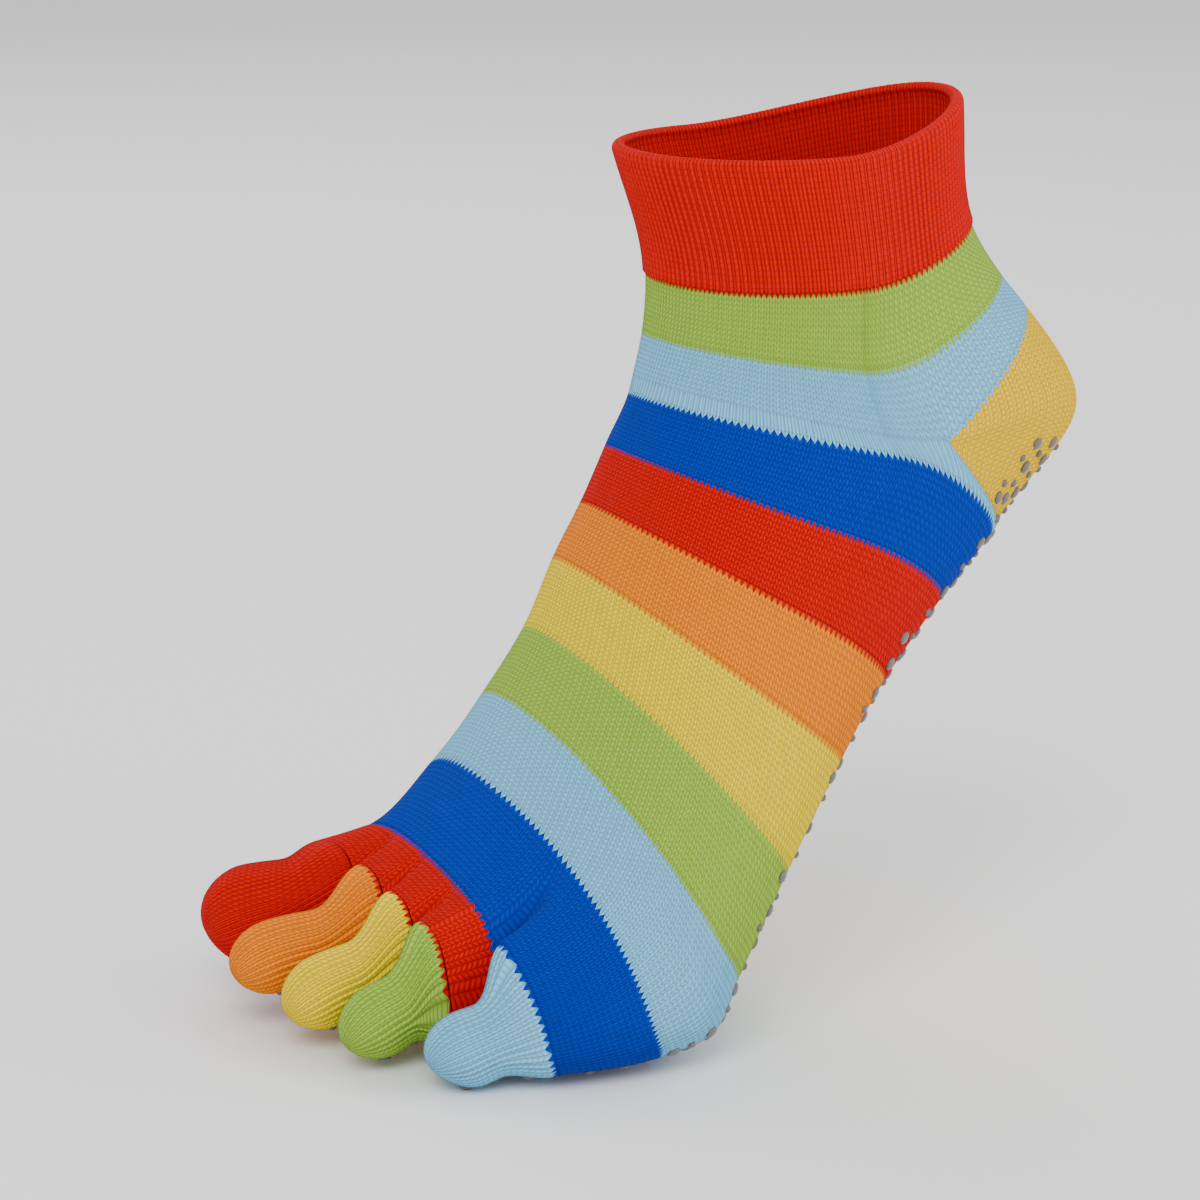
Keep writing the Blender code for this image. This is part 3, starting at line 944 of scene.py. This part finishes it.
class HeelPocket(KnitPiece):
    """The turned pocket over the heel."""

    def build(self, tube: Tube) -> bpy.types.Object:
        """Makes the pocket from a grid drawn over the wedge and thickened.

        Args:
            tube: The tube at the wales' angles.

        Returns:
            The piece.
        """
        opened = np.flatnonzero(tube.share[:, 0] > 0)
        rows = tube.strip("upper", "lower", HEEL_FULLNESS)
        normals = surface_normals(rows)
        place = np.arange(rows.shape[1]) / COLUMNS_PER_WALE
        wave = wale_wave(place)
        raised = (rows + normals * (wave[:, None] * self.relief))[:, opened]
        run = np.concatenate([[0 * opened], np.cumsum(
            np.linalg.norm(np.diff(rows[:, opened], axis=0), axis=-1), axis=0)]) / COURSE_PITCH
        piece = self.drawn_grid(raised, run, "knit_" + self.node)
        bpy.ops.object.mode_set(mode="EDIT")
        bpy.ops.mesh.select_all(action="SELECT")
        bpy.ops.mesh.normals_make_consistent(inside=False)
        bpy.ops.object.mode_set(mode="OBJECT")
        middle = piece.data.polygons[len(piece.data.polygons) // 2]
        solid = piece.modifiers.new("wall", "SOLIDIFY")
        solid.thickness = self.wall
        solid.offset = -1.0 if middle.normal.x > 0 else 1.0
        bpy.ops.object.modifier_apply(modifier="wall")
        around = np.linalg.norm(np.diff(raised, axis=1), axis=-1).sum(axis=1).mean()
        along = np.linalg.norm(np.diff(raised, axis=0), axis=-1).sum(axis=0).mean()
        self.skin = rows
        return self.finish_up(piece, (round(float(around), 3), round(float(along), 3)))


class Cuff(KnitPiece):
    """The ribbed cuff with its rolled lip."""

    LIP_TURNS = 9
    LIP_FADE = 0.2
    INNER_RIBS = 0.6

    def build(self) -> bpy.types.Object:
        """Makes the cuff.

        Returns:
            The piece.
        """
        tube = Tube(even_angles(CUFF_RIBS * CUFF_COLUMNS_PER_RIB, "cuff_seam"))
        rows = tube.strip("mouth", "cuff_seam")
        normals = surface_normals(rows)
        rows = rows + normals * CUFF_PROUD
        radius = CUFF_WALL / 2
        up_way = unit(rows[0] - rows[1])
        middle = rows[0] - up_way * radius - normals[0] * radius
        turns = np.linspace(math.pi, 0, self.LIP_TURNS)
        lip = np.stack([middle + normals[0] * radius * math.cos(turn) + up_way * radius * math.sin(turn)
                        for turn in turns])
        keep = np.linalg.norm(rows[:, 0] - rows[0, 0], axis=-1) > radius
        body = rows[keep]
        grid = np.concatenate([lip[-1:], body])
        place = np.arange(rows.shape[1]) / rows.shape[1] * self.finish.wales
        wave = wale_wave(place)
        outer = np.concatenate([lip[:-1], grid])
        way = np.concatenate([np.repeat(normals[:1], len(lip), axis=0), normals[keep]])
        fade = np.concatenate([np.linspace(self.LIP_FADE, 1, len(lip)), np.ones(len(body))])
        outer = outer + way * (fade[:, None] * wave)[..., None] * self.relief
        picks = np.linspace(len(body) - 1, 0, CUFF_LINING_ROWS).round().astype(int)
        lining = (body - normals[keep] * CUFF_WALL)[picks]
        ribbed = lining + normals[keep][picks] * (wave[:, None] * self.relief * -self.INNER_RIBS)
        run = course_numbers(outer)
        course = np.concatenate([run, run[len(lip):][picks]])
        self.skin = rows
        ring = self.loops_to_ring(np.concatenate([outer, ribbed]), course, "knit_cuff")
        return self.finish_up(ring, self.flat_size(rows))


def full_rise(course: Course, out: np.ndarray, top: np.ndarray) -> np.ndarray:
    """How far up or down a course reaches at a place across it.

    Args:
        course: The course.
        out: Places across it.
        top: Whether each is on its upper side.

    Returns:
        The signed reach.
    """
    power = np.where(top, course.instep, course.sole)
    reach = (1 - np.minimum(np.abs(out), 1) ** (2 / power)) ** (power / 2)
    return np.where(top, reach, -reach)


def slice_points(course: Course, out: np.ndarray, height: np.ndarray) -> np.ndarray:
    """Points of a course from places across it and signed heights.

    Args:
        course: The course.
        out: Places across it.
        height: Heights from -1 to 1.

    Returns:
        The points.
    """
    rise = np.abs(height) * full_rise(course, out, height >= 0)
    return course_at(course, rise, out)


class ToeBase(KnitPiece):
    """The short tube under the four larger toes."""

    CORNER_STEPS = 48
    STEPS_UNDER_TOE = 36
    FREE_STEPS = 28

    def outline(self) -> tuple[np.ndarray, np.ndarray]:
        """Places and heights round the base, from the top of the fourth toe over its web wall.

        Returns:
            The places across the course and the heights.
        """
        inner, outer = toe_span(FOURTH)
        middle = (inner + outer) / 2
        turn = np.linspace(0, math.pi, self.CORNER_STEPS)
        corner_out = middle + (outer - middle) * np.sin(turn) ** WEB_SQUARENESS
        corner_height = power_of(np.cos(turn), WEB_SQUARENESS)
        run = list(np.linspace(middle, inner, self.STEPS_UNDER_TOE // 2, endpoint=False)[1:])
        for index in range(FOURTH - 1, 0, -1):
            inner, outer = toe_span(index)
            run += list(np.linspace(outer, inner, self.STEPS_UNDER_TOE, endpoint=False))
        inner, outer = toe_span(0)
        middle = (inner + outer) / 2
        run += list(np.linspace(outer, middle, self.STEPS_UNDER_TOE, endpoint=False))
        turns = np.linspace(0, math.pi / 2, self.FREE_STEPS)
        free = [middle + (inner - middle) * math.sin(turn) for turn in turns]
        run = np.array(run + free)
        out = np.concatenate([corner_out, run, run[-2::-1]])
        height = np.concatenate([corner_height, -np.ones(len(run)), np.ones(len(run) - 1)])
        return out, height

    def build(self) -> bpy.types.Object:
        """Makes the base.

        Returns:
            The piece.
        """
        out, height = self.outline()
        ridge = np.maximum(lobe(out), 1 - WEB_DEPTH)
        scallop = np.where(np.abs(height) == 1, ridge * height, height)
        start = slice_points(COURSES["toe_line"], out, height)
        end = slice_points(COURSES["web_line"], out, scallop)
        count = max(int(np.linalg.norm(end - start, axis=-1).max() / ROW_PITCH), 4)
        rows = np.stack([start + (end - start) * i / count for i in range(count + 1)])
        return self.finish_up(self.shell(rows, "knit_" + self.node), self.flat_size(rows))


class Toe(KnitPiece):
    """One toe's sheath, with strong ribs that smooth out over its tip."""

    CAP_ROWS = 12
    # How strong the ribs are at the root, and the shares of the toe over which they come and go
    ROOT_FADE = 0.5
    FADE_IN = 0.15
    FADE_OUT = 0.35
    FADE_POWER = 0.8

    def rows(self, index: int, columns: int) -> tuple[np.ndarray, np.ndarray]:
        """The toe's points, row by row from its root to its end.

        Args:
            index: The toe, 0 for the big toe.
            columns: How many points go round it.

        Returns:
            The rows, and the end's point.
        """
        row = TOES[index]
        little = index == LITTLE
        course = COURSES["toe_line" if little else "web_line"]
        before = COURSES["pale_end" if little else "toe_line"]
        half_course = (ANKLE_WIDTH + course.spread * (BALL_WIDTH - ANKLE_WIDTH)) / 2
        inner, outer = toe_span(index)
        inner += 0 if index == 0 else TOE_GAP / 2 / half_course
        outer -= 0 if little else TOE_GAP / 2 / half_course
        angle = np.arange(columns) * 2 * math.pi / columns
        middle, half = (inner + outer) / 2, (outer - inner) / 2
        outward = np.sin(angle)
        free = (outward < -1e-6) & (index == 0) | (outward > 1e-6) & little
        squareness = np.where(free, course.instep, WEB_SQUARENESS)
        out = middle + half * power_of(outward, squareness)
        height = np.where(free, np.sign(np.round(np.cos(angle), 6)),
                          power_of(np.cos(angle), WEB_SQUARENESS))
        root = slice_points(course, out, height)
        centre = root.mean(axis=0)
        behind = slice_points(before, out, height).mean(axis=0)
        start_way = unit(centre - behind)
        tip = np.array([row.tip_x * FOOT_LENGTH, -row.tip_out * BALL_WIDTH, row.tip_z * FOOT_LENGTH])
        length = np.linalg.norm(tip - centre)
        side = unit(root[columns // 4] - root[3 * columns // 4])
        end_way = unit(unit(tip - centre) - np.array([0, 0, TOE_NOD]))
        wide, high = row.half_width * BALL_WIDTH, row.half_height * BALL_WIDTH
        dome = TOE_DOME * high / length
        body_rows = max(int(length * (1 - dome) / ROW_PITCH), 8)
        body = [(share * (1 - dome), 1.0) for share in np.linspace(0, 1, body_rows)]
        cap = [(1 - dome + dome * math.sin(turn), math.cos(turn))
               for turn in np.linspace(0, math.pi / 2, self.CAP_ROWS + 2)[1:-1]]
        made = []
        for share, close in body + cap:
            spot = curve_between(centre, start_way, tip, end_way, share)
            ahead = curve_between(centre, start_way, tip, end_way, min(share + LOOK_AHEAD, 1 + LOOK_AHEAD))
            axis = unit(ahead - spot)
            across = unit(side - axis * (side @ axis))
            upward = np.cross(axis, across)
            upward = upward if upward[2] > 0 else -upward
            spot = spot + upward * row.lift * BALL_WIDTH * 4 * share * (1 - share)
            swell = TOE_WAIST + (1 - TOE_WAIST) * min(share / TOE_BULB, 1)
            ring = (spot + np.outer(np.sin(angle), across) * wide * swell * close
                    + np.outer(np.cos(angle), upward) * high * swell * close)
            mix = min(share / TOE_BLEND, 1)
            mix = mix * mix * (3 - 2 * mix)
            made.append((root + (spot - centre)) * (1 - mix) + ring * mix)
        return np.stack(made), tip

    def build(self, index: int) -> bpy.types.Object:
        """Makes the toe.

        Args:
            index: The toe, 0 for the big toe.

        Returns:
            The piece.
        """
        columns = int(self.finish.wales) * COLUMNS_PER_WALE
        rows, tip = self.rows(index, columns)
        normals = surface_normals(rows)
        share = np.linspace(0, 1, len(rows))
        fade = self.ROOT_FADE + (1 - self.ROOT_FADE) * np.clip(share / self.FADE_IN, 0, 1)
        fade = fade * np.clip((1.0 - share) / self.FADE_OUT, 0, 1) ** self.FADE_POWER
        outer = self.raised(rows, normals, fade)
        picks = np.linspace(len(rows) - 1, 0, TOE_LINING_ROWS).round().astype(int)
        lining = rows[picks] - normals[picks] * self.wall
        end_way = unit(tip - rows[-3].mean(axis=0))
        poles = np.stack([np.tile(tip, (columns, 1)), np.tile(tip - end_way * self.wall, (columns, 1))])
        run = course_numbers(rows)
        course = np.concatenate([run, [run[-1], run[-1]], run[picks]])
        self.skin = rows
        ring = self.loops_to_ring(np.concatenate([outer, poles, lining]), course, "knit_" + self.node)
        return self.finish_up(ring, self.flat_size(rows))


@dataclass(frozen=True)
class DotCentre:
    """A centre that rings of dots lie round: metres along the sole from the heel's lower edge, and
    how far they reach to each side as a share of half the sole's width."""

    along: float
    across: float
    first: float
    last: float
    little_side: float
    big_side: float


DOT_CENTRES = (
    DotCentre(0.128, 0.002, 0.092, 0.156, 0.98, 0.85),
    DotCentre(0.062, 0.014, 0.026, 0.092, 0.92, 0.35),
    DotCentre(-0.012, 0.0, -0.026, 0.026, 0.80, 0.75),
)


class Patch:
    """A patch of a knitted skin, measured along its underside."""

    def __init__(self, rows: np.ndarray, under: int, offset: float = 0.0) -> None:
        """Measures the patch.

        Args:
            rows: The skin's points, row by row.
            under: The column at the middle of its underside.
            offset: The first row's distance from the sole's measuring point.
        """
        self.rows = rows
        self.under = under
        steps = np.linalg.norm(np.diff(rows[:, under], axis=0), axis=-1)
        self.along = offset + np.concatenate([[0], np.cumsum(steps)])
        self.normals = surface_normals(rows)

    def place(self, along: float, across: float) -> tuple[np.ndarray, np.ndarray]:
        """Finds a place on the patch.

        Args:
            along: Metres along the underside.
            across: Metres round from its middle, positive towards the little-toe side.

        Returns:
            The point and its outward normal.
        """
        row = int(np.argmin(np.abs(self.along - along)))
        ring = self.rows[row]
        columns = len(ring)
        step = -1 if across > 0 else 1
        order = (self.under + step * np.arange(columns // 2)) % columns
        run = np.concatenate([[0], np.cumsum(np.linalg.norm(np.diff(ring[order], axis=0), axis=-1))])
        column = order[int(np.argmin(np.abs(run - abs(across))))]
        return ring[column], self.normals[row, column]


class GripDots:
    """The raised rubber dots under the foot and the toes."""

    SEGMENTS = 16
    RINGS = 8
    # Rings of dots round a centre, and the fewest dots in one
    SOLE_RINGS = 13
    FEWEST_DOTS = 6
    # The gap between dots under a wide and a narrow toe, and where along it they start and how far they run
    WIDE_TOE_GAP = 0.0058
    NARROW_TOE_GAP = 0.0062
    TOE_DOTS_START = 0.22
    TOE_DOTS_RUN = 0.52

    def __init__(self) -> None:
        """Starts with no dots."""
        self.points: list[np.ndarray] = []
        self.faces: list[np.ndarray] = []
        self.dome_points, self.dome_faces = self.dome()
        self.count = 0

    def dome(self) -> tuple[np.ndarray, np.ndarray]:
        """One dot, from a flattened sphere.

        Returns:
            Its points, for a radius and height of 1, and its triangles.
        """
        deselect()
        bpy.ops.mesh.primitive_uv_sphere_add(segments=self.SEGMENTS, ring_count=self.RINGS, radius=1.0)
        bpy.ops.object.mode_set(mode="EDIT")
        bpy.ops.mesh.select_all(action="SELECT")
        bpy.ops.mesh.quads_convert_to_tris()
        bpy.ops.object.mode_set(mode="OBJECT")
        dot = bpy.context.object
        points = np.array([vertex.co for vertex in dot.data.vertices])
        faces = np.array([face.vertices for face in dot.data.polygons])
        bpy.data.objects.remove(dot)
        return points, faces

    def add(self, spot: np.ndarray, way: np.ndarray, radius: float) -> None:
        """Puts a dot on the knit.

        Args:
            spot: Where it is.
            way: The knit's outward normal there.
            radius: The dot's radius.
        """
        turn = Vector((0, 0, 1)).rotation_difference(Vector(way)).to_matrix()
        sized = self.dome_points * np.array([radius, radius, DOT_HEIGHT])
        self.faces.append(self.dome_faces + self.count * len(self.dome_points))
        self.points.append(sized @ np.array(turn).T + spot - mouth_centre())
        self.count += 1

    def cover_sole(self, patches: Sequence[Patch]) -> None:
        """Lays rings of dots over the sole.

        Args:
            patches: The sole's patches in order.
        """
        for centre in DOT_CENTRES:
            for ring in range(1, self.SOLE_RINGS + 1):
                radius = ring * DOT_PITCH
                number = max(int(2 * math.pi * radius / DOT_PITCH), self.FEWEST_DOTS)
                for step in range(number):
                    turn = 2 * math.pi * step / number
                    along = centre.along + radius * math.cos(turn)
                    across = centre.across + radius * math.sin(turn)
                    if not centre.first <= along < centre.last - DOT_PITCH / 3:
                        continue
                    self.cover_spot(patches, along, across, ring + step, centre)

    def cover_spot(self, patches: Sequence[Patch], along: float, across: float, number: int,
                   centre: DotCentre) -> None:
        """Puts a dot on the sole where the sole is wide enough.

        Args:
            patches: The sole's patches in order.
            along: Metres along the sole.
            across: Metres across it.
            number: Counts the dots, large and small in turn.
            centre: The centre that the dots lie round, with how far they reach to each side.
        """
        for patch in patches:
            if patch.along[0] <= along <= patch.along[-1]:
                row = int(np.argmin(np.abs(patch.along - along)))
                half = np.ptp(patch.rows[row][:, 1]) / 2
                limit = half * (centre.little_side if across > 0 else centre.big_side)
                if abs(across) < limit:
                    spot, way = patch.place(along, across)
                    self.add(spot, way, DOT_LARGE if number % 2 else DOT_SMALL)
                return

    def cover_toe(self, patch: Patch, columns: int, rows: int) -> None:
        """Lays rows of dots under a toe.

        Args:
            patch: The toe's skin.
            columns: How many dots go across it.
            rows: How many go along it.
        """
        length = patch.along[-1]
        gap = self.WIDE_TOE_GAP if columns > 2 else self.NARROW_TOE_GAP
        for i in range(rows):
            along = length * (self.TOE_DOTS_START + self.TOE_DOTS_RUN * i / (rows - 1))
            for j in range(columns):
                across = (j - (columns - 1) / 2) * gap
                spot, way = patch.place(along, across)
                self.add(spot, way, DOT_LARGE if (i + j) % 2 else DOT_SMALL)

    def build(self) -> bpy.types.Object:
        """Makes one piece of all the dots.

        Returns:
            The piece.
        """
        mesh = bpy.data.meshes.new("grip_dots")
        mesh.from_pydata(np.concatenate(self.points).tolist(), [], np.concatenate(self.faces).tolist())
        mesh.materials.append(RubberFinish().material("grip_dots"))
        mesh.shade_smooth()
        piece = bpy.data.objects.new("grip_dots", mesh)
        bpy.context.scene.collection.objects.link(piece)
        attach(piece, "root")
        log.info("grip_dots: %d dots", self.count)
        return piece


class Sock:
    """The whole sock."""

    def build(self) -> None:
        """Makes every piece."""
        tube = Tube(even_angles(WALES * COLUMNS_PER_WALE))
        under = WALES * COLUMNS_PER_WALE // 2
        # groove sets the painted shade in the cuff's rib grooves
        ribbed = KnitFinish(Yarn.RED, Yarn.RED, CUFF_RIBS, groove=0.40, lean=0.1, loop_power=0.12)
        Cuff("cuff", ribbed, CUFF_RELIEF).build()
        skins = {}
        for band in BANDS:
            piece = StripeBand(band.name, KnitFinish(band.yarn, band.before, WALES))
            piece.build(band, tube)
            skins[band.name] = piece.skin
        ankle = AnkleBand("band_ankle_sky", KnitFinish(Yarn.SKY, Yarn.GREEN, WALES))
        ankle.build(tube)
        opened = int((tube.share[:, 0] > 0).sum())
        heel = HeelPocket("heel_pocket", KnitFinish(Yarn.HEEL_YELLOW, Yarn.SKY,
                                                    (opened - 1) / COLUMNS_PER_WALE))
        heel.build(tube)
        ToeBase("toe_base", KnitFinish(Yarn.RED, Yarn.BLUE, BASE_WALES)).build()
        dots = GripDots()
        self.cover_sole(dots, skins, heel, ankle, under)
        for index, row in enumerate(TOES):
            around = 2 * math.pi * row.half_width * BALL_WIDTH * TOE_WALES_SPARE
            wales = int(around / TOE_WALE_PITCH)
            before = Yarn.BLUE if index == LITTLE else Yarn.RED
            # groove sets the painted shade between the toe's stitches
            finish = KnitFinish(row.yarn, before, wales, groove=0.5, loop_power=0.3)
            toe = Toe(row.name, finish, TOE_RELIEF)
            toe.build(index)
            dots.cover_toe(Patch(toe.skin, toe.skin.shape[1] // 2), row.dot_columns, row.dot_rows)
        dots.build()

    def cover_sole(self, dots: GripDots, skins: dict[str, np.ndarray], heel: HeelPocket,
                   ankle: AnkleBand, under: int) -> None:
        """Lays the dots of the sole.

        Args:
            dots: The dots.
            skins: Each stripe's skin.
            heel: The heel pocket.
            ankle: The ankle stripe, whose last skin runs under the heel.
            under: The column at the middle of the sole.
        """
        patches = []
        heel_length = np.linalg.norm(np.diff(heel.skin[:, under], axis=0), axis=-1).sum()
        patches.append(Patch(heel.skin, under, -heel_length))
        patches.append(Patch(ankle.skin, under, 0.0))
        for band in BANDS[1:]:
            patches.append(Patch(skins[band.name], under, patches[-1].along[-1]))
        log.info("the sole is %.3f m from the heel's lower edge to the toes", patches[-1].along[-1])
        dots.cover_sole(patches)


class Lamp(NamedTuple):
    """A soft light: its name, place, side and power in watts."""

    name: str
    place: tuple[float, float, float]
    size: float
    power: float


LAMPS = (
    Lamp("key", (-0.9, -1.1, 1.3), 1.2, 26.0),
    Lamp("fill", (1.2, -1.0, 0.5), 1.4, 12.0),
    Lamp("back", (0.2, 1.4, 1.2), 1.2, 12.0),
)


@dataclass(frozen=True)
class StudioSizes:
    """Where the camera and the lights are."""

    turn: float = math.radians(27.9)
    height: float = math.radians(13.6)
    distance: float = 0.80
    lens: float = 113.5
    sensor: float = 36.0
    target: tuple[float, float, float] = (-0.0459, 0.0, -0.0996)
    floor: float = 16.0
    sky: float = 0.85


class Studio:
    """The floor, the lights and the camera."""

    def __init__(self, sizes: StudioSizes) -> None:
        """Keeps the sizes.

        Args:
            sizes: Where everything is.
        """
        self.sizes = sizes

    def build(self) -> None:
        """Makes the studio."""
        self.floor()
        self.sky()
        for lamp in LAMPS:
            self.light(lamp)
        self.camera()

    def floor(self) -> None:
        """Makes the floor under the sock's lowest point."""
        deselect()
        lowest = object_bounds()[0][2]
        bpy.ops.mesh.primitive_plane_add(size=self.sizes.floor, location=(0, 0, 0))
        floor = bpy.context.object
        floor.name = "floor"
        floor.data.transform(Matrix.Translation((0, 0, lowest)))
        floor.data.materials.append(FloorFinish().material("floor"))
        floor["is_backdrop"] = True

    def sky(self) -> None:
        """Makes the even light all round."""
        world = bpy.data.worlds.new("studio")
        world.use_nodes = True
        background = world.node_tree.nodes["Background"]
        background.inputs["Color"].default_value = (1.0, 1.0, 1.0, 1.0)
        background.inputs["Strength"].default_value = self.sizes.sky
        bpy.context.scene.world = world

    def light(self, lamp: Lamp) -> None:
        """Makes a soft light that faces the sock.

        Args:
            lamp: What it is.
        """
        data = bpy.data.lights.new(lamp.name, "AREA")
        data.size = lamp.size
        data.energy = lamp.power
        light = bpy.data.objects.new(lamp.name, data)
        light.location = lamp.place
        aim = Vector(self.sizes.target) - Vector(lamp.place)
        light.rotation_euler = aim.to_track_quat("-Z", "Y").to_euler()
        bpy.context.scene.collection.objects.link(light)
        light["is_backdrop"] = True

    def camera(self) -> None:
        """Makes the camera at the photograph's angle."""
        turn, height = self.sizes.turn, self.sizes.height
        back = Vector((-math.sin(turn) * math.cos(height), -math.cos(turn) * math.cos(height),
                       math.sin(height)))
        data = bpy.data.cameras.new("camera")
        data.sensor_width = self.sizes.sensor
        data.lens = self.sizes.lens
        camera = bpy.data.objects.new("camera", data)
        camera.location = Vector(self.sizes.target) + back * self.sizes.distance
        camera.rotation_euler = back.to_track_quat("Z", "Y").to_euler()
        bpy.context.scene.collection.objects.link(camera)
        bpy.context.scene.camera = camera
        camera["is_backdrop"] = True


def main() -> None:
    """Makes the sock and its studio."""
    logging.basicConfig(level=logging.INFO, format="%(name)s: %(message)s")
    Sock().build()
    Studio(StudioSizes()).build()


if __name__ == "__main__":
    main()
